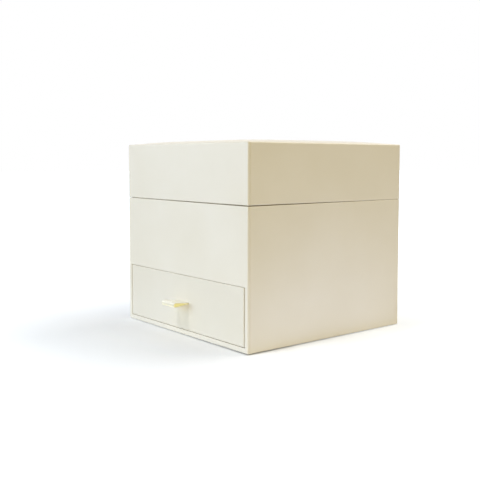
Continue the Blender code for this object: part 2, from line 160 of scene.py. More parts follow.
def combine(piece, cutter, operation):
    boolean = piece.modifiers.new(operation, "BOOLEAN")
    boolean.operation = operation
    boolean.solver = "EXACT"
    boolean.object = cutter
    applyModifiers(piece)
    bpy.data.objects.remove(cutter, do_unlink=True)


def crispFolds(piece, degrees=40):
    # Flat faces stay flat and the light turns only in the folds
    piece.data.shade_smooth()
    piece.data.set_sharp_from_angle(angle=math.radians(degrees))
    weighted = piece.modifiers.new("folds", "WEIGHTED_NORMAL")
    weighted.keep_sharp = True


def dress(piece, material, body, slot, *nodes):
    # Gives a piece its material and its body, and hides the CAD nodes that it stands for. The slot is not
    # used.
    piece.data.materials.clear()
    piece.data.materials.append(material)
    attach(piece, body)
    if nodes:
        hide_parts(*nodes)


grooveLook = {
    "width": 0.125,  # of the lap's inset
    "depth": 2.5,  # in laps
}


def ringOf(halfX, halfY, radius, steps, shares=(), lap=0.0, lapInset=0.0):
    # A rectangle with round corners, anticlockwise, with extra points at shares of each side.
    # With a lap, the paper of the two X sides lies over the tabs that come round the corners,
    # and a fine groove runs along its edge.
    corners = []
    for quarter, (signX, signY) in enumerate(((1, 1), (-1, 1), (-1, -1), (1, -1))):
        centre = Vector((signX * (halfX - lap - radius), signY * (halfY - radius)))
        turns = [math.pi / 2 * (quarter + step / steps) for step in range(steps + 1)]
        corners.append([centre + radius * Vector((math.cos(turn), math.sin(turn))) for turn in turns])
    points = []
    for quarter, corner in enumerate(corners):
        points += corner
        if lapInset and quarter % 2 == 1:
            side = -1 if quarter == 1 else 1
            edge = halfY - lapInset
            wide = lapInset * grooveLook["width"]
            deep = lap * grooveLook["depth"]
            groove = [(halfX - lap, edge + wide), (halfX - deep, edge + wide / 2)]
            groove += [(halfX - lap, edge), (halfX, edge - wide)]
            stops = groove + [(halfX, (1 - 2 * share) * edge) for share in shares]
            stops += [(x, -y) for x, y in reversed(groove)]
            points += [Vector((side * x, -side * y)) for x, y in stops]
        else:
            following = corners[(quarter + 1) % 4][0]
            points += [corner[-1].lerp(following, share) for share in shares]
    return points


def foldPoints(centreInset, centreHeight, radius, fromDegrees, toDegrees, steps):
    # Section points (inset, height) round a fold
    points = []
    for step in range(steps + 1):
        turn = math.radians(fromDegrees + (toDegrees - fromDegrees) * step / steps)
        points.append((centreInset + radius * math.cos(turn), centreHeight + radius * math.sin(turn)))
    return points


def loft(name, rings, closeFirst=False, closeLast=False, place=Matrix.Identity(4)):
    bm = bmesh.new()
    rows = [[bm.verts.new(place @ point) for point in ring] for ring in rings]
    count = len(rows[0])
    for lower, upper in zip(rows, rows[1:]):
        for i in range(count):
            j = (i + 1) % count
            bm.faces.new((lower[i], lower[j], upper[j], upper[i]))
    if closeFirst:
        bm.faces.new(list(reversed(rows[0])))
    if closeLast:
        bm.faces.new(rows[-1])
    return newPiece(name, bm)


def flat(ring, height):
    return [Vector((point.x, point.y, height)) for point in ring]


# Turns a loft that rises along +Z so that it comes out of the box's front, along -Y
toFront = Matrix(((1, 0, 0, 0), (0, 0, -1, 0), (0, 1, 0, 0), (0, 0, 0, 1)))


# Camera, fitted to the box's edges in the photograph

cameraLook = {
    "lens": 56.645,  # mm
    "sensor": 36,  # mm, its width
    "shift": -0.0639,  # the photograph is cut from a higher frame
    "nearest": 0.01,  # nothing closer is drawn
    "fromCorner": (0.3744, -0.3067, 0.1260),  # from the near bottom corner
    "heading": 51.293,  # degrees from +Y towards -X
    "tilt": -3.6975,
    "roll": 0.0578,
}


def placeCamera(look):
    low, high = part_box("base_wrap")
    data = bpy.data.cameras.new("camera")
    data.lens = look["lens"]
    data.sensor_width = look["sensor"]
    data.shift_y = look["shift"]
    data.clip_start = look["nearest"]
    camera = bpy.data.objects.new("camera", data)
    camera.location = Vector((high.x, low.y, low.z)) + Vector(look["fromCorner"])
    turn = Matrix.Rotation(math.radians(look["heading"]), 4, "Z")
    turn = turn @ Matrix.Rotation(math.radians(90 + look["tilt"]), 4, "X")
    turn = turn @ Matrix.Rotation(math.radians(look["roll"]), 4, "Z")
    camera.rotation_euler = turn.to_euler()
    scene.collection.objects.link(camera)
    scene.camera = camera


placeCamera(cameraLook)
print("camera placed")


# Materials

pearlLook = {
    "light": srgb(238, 232, 216),
    "deep": srgb(233, 226, 207),
    "shader": {
        "Roughness": 0.42, "Specular IOR Level": 0.45, "Coat Weight": 0.12, "Coat Roughness": 0.35,
        "Sheen Weight": 0.05,
    },
    "roughness": (0.38, 0.47),  # between the grain's high and low places
    "cloud": 22.0,
    "cloudShare": 0.7,
    "grain": 2600.0,
    "grainShare": 0.3,
    "grainBump": 0.000012,
    "board": 140.0,
    "boardBump": 0.00006,
}
drawerPearlLook = {**pearlLook, "light": srgb(234, 228, 212), "deep": srgb(229, 222, 203)}


def pearlPaper(look):
    # Coated paper with a fine pearly grain, slightly uneven from the board and the glue under it
    material, tree, shader = newMaterial("pearlPaper")
    setShader(shader, look["shader"])
    place = ownPlace(tree)
    cloud = noiseAt(tree, place, look["cloud"], detail=3.0)
    grain = noiseAt(tree, place, look["grain"], detail=3.0, roughness=0.6)
    board = noiseAt(tree, place, look["board"])
    mixed = sumOf(tree, (cloud, noiseSpan, look["cloudShare"]), (grain, noiseSpan, look["grainShare"]))
    colour = blendColours(tree, mixed, look["light"], look["deep"])
    tree.links.new(colour, shader.inputs["Base Color"])
    tree.links.new(spread(tree, grain, *noiseSpan, *look["roughness"]), shader.inputs["Roughness"])
    coarse = bumpFrom(tree, board, look["boardBump"])
    tree.links.new(bumpFrom(tree, grain, look["grainBump"], before=coarse), shader.inputs["Normal"])
    return material


linerLook = {
    "light": srgb(236, 229, 212),
    "deep": srgb(226, 217, 196),
    "shader": {"Roughness": 0.7, "Specular IOR Level": 0.3},
    "fibre": 900.0,
    "fibreShare": 0.6,
    "cloud": 30.0,
    "cloudShare": 0.4,
    "bump": 0.00002,
}
neckPaperLook = {**linerLook, "light": srgb(214, 194, 152), "deep": srgb(202, 180, 136)}


def linerPaper(look):
    # Uncoated paper with short fibres in it
    material, tree, shader = newMaterial("linerPaper")
    setShader(shader, look["shader"])
    place = ownPlace(tree)
    fibre = noiseAt(tree, place, look["fibre"], detail=4.0, roughness=0.65)
    cloud = noiseAt(tree, place, look["cloud"])
    mixed = sumOf(tree, (fibre, noiseSpan, look["fibreShare"]), (cloud, noiseSpan, look["cloudShare"]))
    tree.links.new(blendColours(tree, mixed, look["light"], look["deep"]), shader.inputs["Base Color"])
    tree.links.new(bumpFrom(tree, fibre, look["bump"]), shader.inputs["Normal"])
    return material


boardLook = {
    "light": srgb(170, 164, 152),
    "deep": srgb(138, 131, 119),
    "fleck": srgb(96, 88, 78),
    "shader": {"Roughness": 0.9, "Specular IOR Level": 0.2},
    "fibre": 700.0,
    "flecks": 260.0,
    "fleckSpan": (0.66, 0.72),  # only the noise's highest places are flecks
    "fleckShare": 0.8,
    "bump": 0.00005,
}


def greyBoard(look):
    # Recycled board: grey, fibrous, with darker flecks
    material, tree, shader = newMaterial("greyBoard")
    setShader(shader, look["shader"])
    place = ownPlace(tree)
    fibre = noiseAt(tree, place, look["fibre"], detail=4.0, roughness=0.7)
    body = blendColours(tree, spread(tree, fibre, *noiseSpan, 0.0, 1.0), look["light"], look["deep"])
    flecks = noiseAt(tree, place, look["flecks"])
    fleck = spread(tree, flecks, *look["fleckSpan"], 0.0, look["fleckShare"])
    tree.links.new(blendColours(tree, fleck, body, look["fleck"]), shader.inputs["Base Color"])
    tree.links.new(bumpFrom(tree, fibre, look["bump"]), shader.inputs["Normal"])
    return material


foamLook = {
    "light": srgb(236, 232, 214),
    # the colour of the painted shade in the pores
    "poreShade": srgb(196, 190, 168),
    "shader": {"Roughness": 0.95, "Specular IOR Level": 0.15},
    "pores": 1400.0,
    "poreEdge": 0.5,  # where a pore's shade has gone
    "bump": 0.0002,
}


def foam(look):
    # Open foam, with painted shade in its pores
    material, tree, shader = newMaterial("foam")
    setShader(shader, look["shader"])
    inputs = {"Vector": ownPlace(tree), "Scale": look["pores"]}
    cells = addNode(tree, "ShaderNodeTexVoronoi", inputs).outputs["Distance"]
    shade = spread(tree, cells, 0.0, look["poreEdge"], 1.0, 0.0)
    tree.links.new(blendColours(tree, shade, look["light"], look["poreShade"]), shader.inputs["Base Color"])
    tree.links.new(bumpFrom(tree, cells, look["bump"]), shader.inputs["Normal"])
    return material


velvetLook = {
    "pile": srgb(222, 206, 178),
    # the darker colour of the painted sheen's patches
    "shade": srgb(186, 166, 136),
    "shader": {
        "Roughness": 0.85, "Specular IOR Level": 0.15, "Sheen Weight": 0.7, "Sheen Roughness": 0.35,
        "Sheen Tint": srgb(250, 242, 226),
    },
    "nap": 55.0,
    "napSpan": (0.35, 0.65),
    "napShare": 0.65,
    "napStretch": (0.35, 1.0, 1.0),
    "fibre": 3200.0,
    "fibreShare": 0.35,
    "bump": 0.00012,
}


def velvet(look):
    # Short pile that lies in soft patches, with painted sheen: its colour is lighter where the pile leans
    # to the light
    material, tree, shader = newMaterial("velvet")
    setShader(shader, look["shader"])
    place = ownPlace(tree)
    nap = noiseAt(tree, place, look["nap"], detail=3.0, roughness=0.55, stretch=look["napStretch"])
    fibre = noiseAt(tree, place, look["fibre"], roughness=0.6)
    mixed = sumOf(tree, (nap, look["napSpan"], look["napShare"]), (fibre, noiseSpan, look["fibreShare"]))
    tree.links.new(blendColours(tree, mixed, look["pile"], look["shade"]), shader.inputs["Base Color"])
    tree.links.new(bumpFrom(tree, fibre, look["bump"]), shader.inputs["Normal"])
    return material


brightSatin = {"Roughness": 0.36, "Specular IOR Level": 0.6}
dullSatin = {"Roughness": 0.55, "Specular IOR Level": 0.4}
ribbonLook = {
    # the face's colours, then copies painted for how light falls: lighter for the top and the underside,
    # yellower for the back inside the loop
    "face": (srgb(244, 240, 220), srgb(235, 227, 193)),
    "top": (srgb(252, 248, 234), srgb(247, 243, 224)),
    "under": (srgb(250, 246, 224), srgb(240, 232, 196)),
    "back": (srgb(240, 231, 192), srgb(230, 219, 166)),
    "faceShader": brightSatin,
    # painted glow, which stands in for the light that comes through the thin satin and bounces inside the
    # loop; strongest on its underside, where it lightens the shade under the ribbon
    "topPaintedLightShader": {**brightSatin, "Emission Color": (1.0, 1.0, 1.0, 1.0), "Emission Strength": 0.035},
    "backPaintedGlowShader": {**dullSatin, "Emission Color": srgb(230, 232, 190), "Emission Strength": 0.265},
    "underPaintedGlowShader": {**dullSatin, "Emission Color": srgb(240, 228, 178), "Emission Strength": 0.45},
    "threads": 0.00032,  # spacing of the weft ribs
    "waver": 0.6,
    # painted glints: fine streaks of lighter and darker colour where satin catches the light
    "paintedSparkle": 2400.0,
    "paintedSparkleStretch": (0.3, 1.0, 1.0),
    "bump": 0.00003,
}


def satin(name, colours, values, look):
    # Fine ribs across the ribbon, and painted glints (the sparkle noise) in its colour
    material, tree, shader = newMaterial(name)
    setShader(shader, values)
    place = addNode(tree, "ShaderNodeUVMap").outputs["UV"]
    scale = 1.0 / (2 * look["threads"])
    inputs = {"Vector": place, "Scale": scale, "Distortion": look["waver"], "Detail": 1.0}
    ribs = addNode(tree, "ShaderNodeTexWave", inputs, bands_direction="Y").outputs["Fac"]
    paintedSparkle = noiseAt(tree, place, look["paintedSparkle"], roughness=0.6, stretch=look["paintedSparkleStretch"])
    mixed = sumOf(tree, (ribs, (0.0, 1.0), 0.5), (paintedSparkle, noiseSpan, 0.5))
    tree.links.new(blendColours(tree, mixed, *colours), shader.inputs["Base Color"])
    tree.links.new(bumpFrom(tree, ribs, look["bump"]), shader.inputs["Normal"])
    return material


pearl = pearlPaper(pearlLook)
drawerPearl = pearlPaper(drawerPearlLook)
liner = linerPaper(linerLook)
neckPaper = linerPaper(neckPaperLook)
greyboard = greyBoard(boardLook)
padFoam = foam(foamLook)
pile = velvet(velvetLook)
satinFace = satin("satinFace", ribbonLook["face"], ribbonLook["faceShader"], ribbonLook)
# copies of the satin with painted light: a glowing back and underside, and a lighter, faintly glowing top
satinBackPaintedGlow = satin("satinBackPaintedGlow", ribbonLook["back"], ribbonLook["backPaintedGlowShader"], ribbonLook)
satinUnderPaintedGlow = satin("satinUnderPaintedGlow", ribbonLook["under"], ribbonLook["underPaintedGlowShader"], ribbonLook)
satinTopPaintedLight = satin("satinTopPaintedLight", ribbonLook["top"], ribbonLook["topPaintedLightShader"], ribbonLook)
print("materials made")


# Wraps: one sheet of paper each, over the boards, round the rims and into the openings

paperLook = {
    "thickness": 0.0004,
    "wall": 0.0034,  # paper, glue, board, glue and paper
    "turnIn": 0.0120,
    "corner": 0.0009,
    "innerCorner": 0.0003,
    "rimFold": 0.0006,
    "lidEdge": 0.0010,
    "mouthFold": 0.0003,
    # how far the drawer's mouth is off, as hand-made boxes are: its left edge and its right edge
    # to the right, its upper edge down
    "mouthLeft": 0.00048,
    "mouthRight": 0.00012,
    "mouthDrop": 0.00007,
    "rimDip": 0.00025,  # how far the base's rim sinks towards its near right corner
    "lidDip": 0.00023,  # how far the lid's edge sinks towards its far right corner
    "lidRise": 0.00010,  # and how far it rises towards the near right one
    "lap": 0.00010,  # how far the side's paper stands over the corner tabs
    "lapInset": 0.0011,
    "lapTaper": 0.2,  # how much nearer to the corner the lap's edge comes as the paper turns in
    "lapClear": 0.0001,  # at least this far from the corner's round
    "cornerSteps": 7,
    "foldSteps": 6,
    "cutSteps": 4,  # corner steps of what is cut out
    "cutDepth": 1.2,  # how far in the mouth is cut, in turn-ins
    "cutSpare": 0.001,  # how far a cutter stands out of the paper
}


def wrapRings(section, halfX, halfY, look, shares=()):
    rings = []
    for inset, height in section:
        radius = max(look["corner"] - inset, look["innerCorner"])
        lap = look["lap"] * max(0.0, 1 - inset / look["rimFold"])
        lapInset = max(look["lapInset"] - look["lapTaper"] * inset, 2 * radius + look["lapClear"])
        ring = ringOf(halfX - inset, halfY - inset, radius, look["cornerSteps"], shares, lap, lapInset)
        rings.append(flat(ring, height))
    return rings


def sink(piece, between, corner, half, depth):
    # A hand-made edge isn't quite level: it sinks towards one corner, softly along the sides
    for vert in piece.data.vertices:
        if between[0] < vert.co.z < between[1]:
            across = (1 + corner[0] * vert.co.x / half[0]) / 2
            along = (1 + corner[1] * vert.co.y / half[1]) / 2
            vert.co.z -= depth * across ** 4 * along ** 2 * (3 - 2 * along)


def collarBlock(low, high):
    # The paper round the drawer's bay, full until the mouth is cut
    bm = bmesh.new()
    bmesh.ops.create_cube(bm, size=1.0)
    bmesh.ops.scale(bm, vec=high - low, verts=bm.verts)
    bmesh.ops.translate(bm, vec=(high + low) / 2, verts=bm.verts)
    return newPiece("collar", bm)


def mouthCutter(look, front, bayLow, bayHigh):
    # What the drawer's mouth takes out, wider at the front where the paper folds in
    thin, roll, steps = look["thickness"], look["mouthFold"], look["foldSteps"]
    left = bayLow.x + thin + look["mouthLeft"]
    right = bayHigh.x - thin + look["mouthRight"]
    bottom, top = bayLow.z + thin, bayHigh.z - thin - look["mouthDrop"]
    halfX, halfZ = (right - left) / 2, (top - bottom) / 2
    fold = front - roll
    outline = [(0.0, fold - look["cutDepth"] * look["turnIn"])]
    for step in range(steps + 1):
        turn = math.pi / 2 * step / steps
        outline.append((roll * (1 - math.cos(turn)), fold + roll * math.sin(turn)))
    outline.append((roll, front + look["cutSpare"]))
    rings = []
    for more, depth in outline:
        ring = ringOf(halfX + more, halfZ + more, look["innerCorner"] + more, look["cutSteps"])
        rings.append(flat(ring, depth))
    middle = Matrix.Translation(((left + right) / 2, 0, (bottom + top) / 2))
    return loft("mouth", rings, closeFirst=True, closeLast=True, place=middle @ toFront)


def makeBaseWrap(look):
    low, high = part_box("base_wrap")
    halfX, halfY = high.x, high.y
    fold, steps, wall, thin = look["rimFold"], look["foldSteps"], look["wall"], look["thickness"]
    section = [(look["turnIn"], low.z)]
    section += foldPoints(fold, low.z + fold, fold, -90, -180, steps)
    section += foldPoints(fold, high.z - fold, fold, 180, 90, steps)
    section += foldPoints(wall - fold, high.z - fold, fold, 90, 0, steps)
    section.append((wall, high.z - look["turnIn"]))
    wrap = loft("baseWrap", wrapRings(section, halfX, halfY, look))
    thicken(wrap, thin)
    # the drawer's mouth, whose paper turns in round it
    bayLow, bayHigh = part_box("bay_liner")
    collarLow = Vector((-bayHigh.x, -halfY + thin / 2, bayLow.z))
    collarHigh = Vector((bayHigh.x, -halfY + look["turnIn"], bayHigh.z))
    combine(wrap, collarBlock(collarLow, collarHigh), "UNION")
    combine(wrap, mouthCutter(look, halfY, bayLow, bayHigh), "DIFFERENCE")
    sink(wrap, (high.z - look["turnIn"] / 2, high.z + fold), (1, -1), (halfX, halfY), look["rimDip"])
    crispFolds(wrap)
    dress(wrap, pearl, "base", "wrap_paper", "base_wrap")


makeBaseWrap(paperLook)

lidLook = {
    "crown": 0.0025,
    "crownPower": 6,
    "sidePoints": 22,
    "rings": 16,
    "ringPower": 1.5,  # sets the rings closer together towards the edge
    "grooveInset": 0.0032,
}


def crownAt(x, y, halfX, halfY, look):
    power = look["crownPower"]
    return look["crown"] * (1 - abs(x / halfX) ** power) * (1 - abs(y / halfY) ** power)


def makeLidWrap(paper, look):
    low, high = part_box("lid_wrap")
    halfX, halfY = high.x, high.y
    edgeTop = high.z - look["crown"]
    fold, steps, wall, edge = paper["rimFold"], paper["foldSteps"], paper["wall"], paper["lidEdge"]
    count = look["sidePoints"]
    shares = [(1 - math.cos(math.pi * i / count)) / 2 for i in range(1, count)]
    section = [(wall, low.z + paper["turnIn"])]
    section += foldPoints(wall - fold, low.z + fold, fold, 0, -90, steps)
    section += foldPoints(fold, low.z + fold, fold, -90, -180, steps)
    section += foldPoints(edge, edgeTop - edge, edge, 180, 90, steps + 2)
    rings = wrapRings(section, halfX, halfY, paper, shares)
    for i in range(1, look["rings"]):
        share = (1 - (i / look["rings"]) ** look["ringPower"]) * (1 - edge / halfX)
        sides = (share * halfX, share * halfY, edge * share)
        ring = ringOf(*sides, paper["cornerSteps"], shares, 0.0, look["grooveInset"] * share)
        rings.append(flat(ring, edgeTop))
    for ring in rings[-look["rings"]:]:
        for point in ring:
            point.z += crownAt(point.x, point.y, halfX, halfY, look)
    wrap = loft("lidWrap", rings, closeLast=True)
    thicken(wrap, paper["thickness"])
    lowEdge = (low.z - fold, low.z + paper["turnIn"] / 2)
    sink(wrap, lowEdge, (1, 1), (halfX, halfY), paper["lidDip"])
    sink(wrap, lowEdge, (1, -1), (halfX, halfY), -paper["lidRise"])
    crispFolds(wrap)
    dress(wrap, pearl, "lid", "wrap_paper", "lid_wrap")


makeLidWrap(paperLook, lidLook)

lidPadLook = {
    "corner": 0.0008,
    "cornerSteps": 4,
    "sidePoints": 20,
    "rings": 14,
}


def makeLidPad(look, lid):
    # Foam between the lid's top board and its paper
    low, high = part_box("lid_pad")
    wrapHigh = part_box("lid_wrap")[1]
    halfX, halfY = high.x, high.y
    corner, steps, count = look["corner"], look["cornerSteps"], look["sidePoints"]
    shares = [i / count for i in range(1, count)]
    top = high.z - lid["crown"]
    rings = [flat(ringOf(halfX, halfY, corner, steps, shares), low.z)]
    for i in range(look["rings"]):
        share = 1 - (i / look["rings"]) ** lid["ringPower"]
        rings.append(flat(ringOf(share * halfX, share * halfY, corner * share, steps, shares), top))
    for ring in rings[1:]:
        for point in ring:
            point.z += crownAt(point.x, point.y, wrapHigh.x, wrapHigh.y, lid)
    pad = loft("lidPad", rings, closeFirst=True, closeLast=True)
    pad.data.shade_smooth()
    dress(pad, padFoam, "lid", "pad_foam", "lid_pad")


makeLidPad(lidPadLook, lidLook)

drawerLook = {
    "slitHalf": (0.0079, 0.00062),
    "slitRound": 0.0004,
    "slitBehind": 0.002,  # how far behind the paper's face the slit is cut
}


def makeDrawerWrap(paper, look):
    low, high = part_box("drawer_wrap")
    middle = Vector((0, (low.y + high.y) / 2, 0))
    halfX, halfY = high.x, (high.y - low.y) / 2
    fold, steps, wall = paper["rimFold"], paper["foldSteps"], paper["wall"]
    section = foldPoints(fold, low.z + fold, fold, -90, -180, steps)
    section += foldPoints(fold, high.z - fold, fold, 180, 90, steps)
    section += foldPoints(wall - fold, high.z - fold, fold, 90, 0, steps)
    section.append((wall, high.z - paper["turnIn"]))
    rings = wrapRings(section, halfX, halfY, paper)
    wrap = loft("drawerWrap", rings, closeFirst=True, place=Matrix.Translation(middle))
    thicken(wrap, paper["thickness"])
    ring = ringOf(*look["slitHalf"], look["slitRound"], paper["cutSteps"])
    depths = (-low.y - look["slitBehind"], -low.y + paper["cutSpare"])
    place = Matrix.Translation((0, 0, (low.z + high.z) / 2)) @ toFront
    rings = [flat(ring, depth) for depth in depths]
    cutter = loft("slit", rings, closeFirst=True, closeLast=True, place=place)
    combine(wrap, cutter, "DIFFERENCE")
    crispFolds(wrap)
    dress(wrap, drawerPearl, "drawer", "wrap_paper", "drawer_wrap")


makeDrawerWrap(paperLook, drawerLook)
print("wraps made")


# Gold ribbon, folded through the slit in the drawer's front

ribbonShape = {
    "width": 0.0155,
    "thickness": 0.00038,
    "reach": 0.0128,
    "loop": 0.0032,
    "slot": 0.00035,  # half the distance between its leaves' middles in the slit
    "recess": 0.0020,  # how far behind the drawer's face its leaves are glued
    "slitHalf": 0.00085,  # half the height of the board's slit
    "bend": 0.0005,
    "leaf": 0.0065,
    "leafPoints": 4,
    "columns": 14,
    "steps": 10,
}


def ribbonLine(shape, front):
    # Upper half of the ribbon's line, (y, height over the slit), from its glued end to the fold
    bend, slitHalf, steps = shape["bend"], shape["slitHalf"], shape["steps"]
    recess = front + shape["recess"]
    count = shape["leafPoints"]
    line = [(recess + bend, slitHalf + shape["leaf"] * (1 - i / count)) for i in range(count)]
    for step in range(steps + 1):
        turn = math.pi / 2 * step / steps
        line.append((recess + bend * math.cos(turn), slitHalf - bend * math.sin(turn)))
    radius = (shape["loop"] - shape["thickness"]) / 2
    centre = front - shape["reach"] + shape["thickness"] / 2 + radius
    for step in range(steps + 1):
        share = step / steps
        swell = (1 - math.cos(math.pi * share)) / 2
        line.append((front + (centre - front) * share, shape["slot"] + (radius - shape["slot"]) * swell))
    for step in range(1, steps + 1):
        turn = math.pi / 2 * step / steps
        line.append((centre - radius * math.sin(turn), radius * math.cos(turn)))
    return line


def satinPaintedLightSide(polygon, middle):
    # Which of its finishes a face gets: 0 face, 1 back, 2 under, 3 top, by the way the face turns, as
    # painted light and shade. The back, inside the loop, is painted yellower and glows: there the faces
    # look at each other, and the bend's to the drawer. The underside glows and the top is painted lighter.
    normal = polygon.normal
    towardsMiddle = normal.z * (polygon.center.z - middle) < 0
    if abs(normal.x) < 0.5 and (towardsMiddle or normal.y > 0.7):
        return 1
    if normal.z < -0.5:
        return 2
    if normal.z > 0.5:
        return 3
    return 0


def makeRibbon(shape):
    low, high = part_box("drawer_wrap")
    middle = (low.z + high.z) / 2
    upper = ribbonLine(shape, low.y)
    line = upper + [(y, -rise) for y, rise in reversed(upper[:-1])]
    lengths = [0.0]
    for first, second in zip(line, line[1:]):
        lengths.append(lengths[-1] + math.dist(first, second))
    bm = bmesh.new()
    uvs = bm.loops.layers.uv.new("ribbon")
    columns = shape["columns"]
    rows = []
    for y, rise in line:
        row = []
        for i in range(columns + 1):
            across = (i / columns - 0.5) * shape["width"]
            row.append(bm.verts.new((across, y, middle + rise)))
        rows.append(row)
    for j in range(len(rows) - 1):
        for i in range(columns):
            quad = bm.faces.new((rows[j][i], rows[j][i + 1], rows[j + 1][i + 1], rows[j + 1][i]))
            for loop, (u, v) in zip(quad.loops, ((i, j), (i + 1, j), (i + 1, j + 1), (i, j + 1))):
                loop[uvs].uv = (u / columns * shape["width"], lengths[v])
    ribbon = newPiece("ribbonPull", bm)
    thicken(ribbon, shape["thickness"], offset=0.0)
    crispFolds(ribbon, degrees=60)
    dress(ribbon, satinFace, "drawer", "gold_ribbon", "ribbon_pull")
    for finish in (satinBackPaintedGlow, satinUnderPaintedGlow, satinTopPaintedLight):
        ribbon.data.materials.append(finish)
    for polygon in ribbon.data.polygons:
        polygon.material_index = satinPaintedLightSide(polygon, middle)
    print("ribbon, cut length in mm:", round(1000 * lengths[-1], 1))


makeRibbon(ribbonShape)


# Velvet pieces

padLook = {
    "start": 0.975,  # it swells, so it starts this much smaller
    "pressure": 4.0,
    "slack": 0.02,  # cloth to spare, which puckers
    "mass": 0.2,
    "stiff": 12.0,
    "bend": 0.4,
    "frames": 20,
    "cap": 0.0030,  # how far a point may move
}


def simulateCover(piece, look):
    # Pushes the cover out from inside, as foam does, and keeps where it comes to rest
    before = [vert.co.copy() for vert in piece.data.vertices]
    settings = piece.modifiers.new("cover", "CLOTH").settings
    settings.mass = look["mass"]
    settings.tension_stiffness = look["stiff"]
    settings.compression_stiffness = look["stiff"]
    settings.bending_stiffness = look["bend"]
    settings.shrink_min = -look["slack"]
    settings.use_pressure = True
    settings.uniform_pressure_force = look["pressure"]
    settings.effector_weights.gravity = 0.0
    for tick in range(1, look["frames"] + 1):
        scene.frame_set(tick)
    graph = bpy.context.evaluated_depsgraph_get()
    moved = [vert.co.copy() for vert in piece.evaluated_get(graph).data.vertices]
    piece.modifiers.clear()
    scene.frame_set(1)
    for vert, start, end in zip(piece.data.vertices, before, moved):
        step = end - start
        if step.length > look["cap"]:
            step *= look["cap"] / step.length
        vert.co = start + step


def puffUp(piece, look, voxel, low, high):
    # The cover is laid round a slightly small pad, swells, and is kept in its place
    middle = (low + high) / 2
    for vert in piece.data.vertices:
        vert.co.x = middle.x + (vert.co.x - middle.x) * look["start"]
        vert.co.y = middle.y + (vert.co.y - middle.y) * look["start"]
        vert.co.z = low.z + (vert.co.z - low.z) * look["start"]
    remesh = piece.modifiers.new("even", "REMESH")
    remesh.mode = "VOXEL"
    remesh.voxel_size = voxel
    applyModifiers(piece)
    simulateCover(piece, look)
    rounder = piece.modifiers.new("rounder", "SUBSURF")
    rounder.levels = rounder.render_levels = 1
    applyModifiers(piece)
    # it is scaled where it swells past its place, and it lies flat below
    for axis in range(3):
        values = [vert.co[axis] for vert in piece.data.vertices]
        least, most = low[axis] if axis == 2 else min(values), max(values)
        keptLeast, keptMost = max(least, low[axis]), min(most, high[axis])
        scale = (keptMost - keptLeast) / (most - least)
        for vert in piece.data.vertices:
            vert.co[axis] = max(low[axis], keptLeast + (vert.co[axis] - least) * scale)
    piece.data.shade_smooth()


cushionShape = {
    "corner": 0.0070,
    "cornerSteps": 6,
    "pull": 0.0014,  # how far the sides are drawn in between the corners
    "crown": 0.0030,
    "side": 26,
    # up its side, (share of its width, share of its edge's height), with the seam half way
    "levels": (
        (0.93, 0.0), (0.975, 0.01), (0.992, 0.06), (1.0, 0.18), (1.0, 0.34), (0.994, 0.44), (0.985, 0.48),
        (0.985, 0.52), (0.994, 0.56), (1.0, 0.66), (1.0, 0.80), (0.992, 0.92), (0.975, 0.985), (0.95, 1.0),
    ),
    "top": 0.95,  # share of its width where the top starts
    "topRings": 12,
    "topPower": 1.3,
    "ripple": 0.0003,  # how uneven its top is
    "rippleScale": 60,
    "rippleLayer": 3.0,
    "voxel": 0.004,
    "pressure": 0.12,  # lower than the rolls', since it is wide
}


def makeCushion(shape):
    # A crowned pad: flat below, sides drawn in between the corners, a seam round its edge
    low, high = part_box("compartment_cushion")
    halfX, halfY = high.x, high.y
    height = high.z - low.z
    edge = height - shape["crown"]
    shares = [i / shape["side"] for i in range(1, shape["side"])]
    levels, top, count = shape["levels"], shape["top"], shape["topRings"]
    inner = [top * (1 - (i / count) ** shape["topPower"]) for i in range(1, count)]

    def ringAt(share, level):
        ring = []
        corner = shape["corner"] * share
        for point in ringOf(share * halfX, share * halfY, corner, shape["cornerSteps"], shares):
            u, v = point.x / halfX, point.y / halfY
            x = point.x - math.copysign(shape["pull"] * (1 - v * v) * u ** 4, u)
            y = point.y - math.copysign(shape["pull"] * (1 - u * u) * v ** 4, v)
            ring.append(Vector((x, y, low.z + level * edge)))
        return ring

    rings = [ringAt(share, level) for share, level in levels] + [ringAt(share, 1.0) for share in inner]
    for ring in rings[len(levels) - 1:]:
        for point in ring:
            u, v = point.x / (top * halfX), point.y / (top * halfY)
            point.z += shape["crown"] * max(0.0, 1 - abs(u) ** 3) * max(0.0, 1 - abs(v) ** 3)
            scale = shape["rippleScale"]
            ripple = noise.noise(Vector((point.x * scale, point.y * scale, shape["rippleLayer"])))
            point.z += shape["ripple"] * ripple * (1 - max(abs(u), abs(v)))
    cushion = loft("compartmentCushion", rings, closeFirst=True, closeLast=True)
    puffUp(cushion, {**padLook, "pressure": shape["pressure"]}, shape["voxel"], low, high)
    dress(cushion, pile, "base", "velvet", "compartment_cushion")


makeCushion(cushionShape)

rollShape = {
    # half its section, (share of its half width, share of its height)
    "outline": (
        (0.0, 0.0), (0.45, 0.0), (0.74, 0.015), (0.92, 0.08), (0.99, 0.22), (1.0, 0.40),
        (0.96, 0.58), (0.86, 0.76), (0.68, 0.90), (0.40, 0.975), (0.0, 1.0),
    ),
    "stations": 44,
    "end": 0.0050,  # how much of its length rounds off
    "endSize": 0.80,  # its size at the very end
    "endSwell": 0.20,  # and what it gains from there
    "endLift": 0.4,  # how much of the lost size lifts the end off the floor
    "fill": 0.985,  # of its place's height
    "wave": 0.018,  # how uneven its thickness is
    "waveScale": (70, 1.5, 5.0),  # along it, round it, and from roll to roll
    "voxel": 0.0028,
}


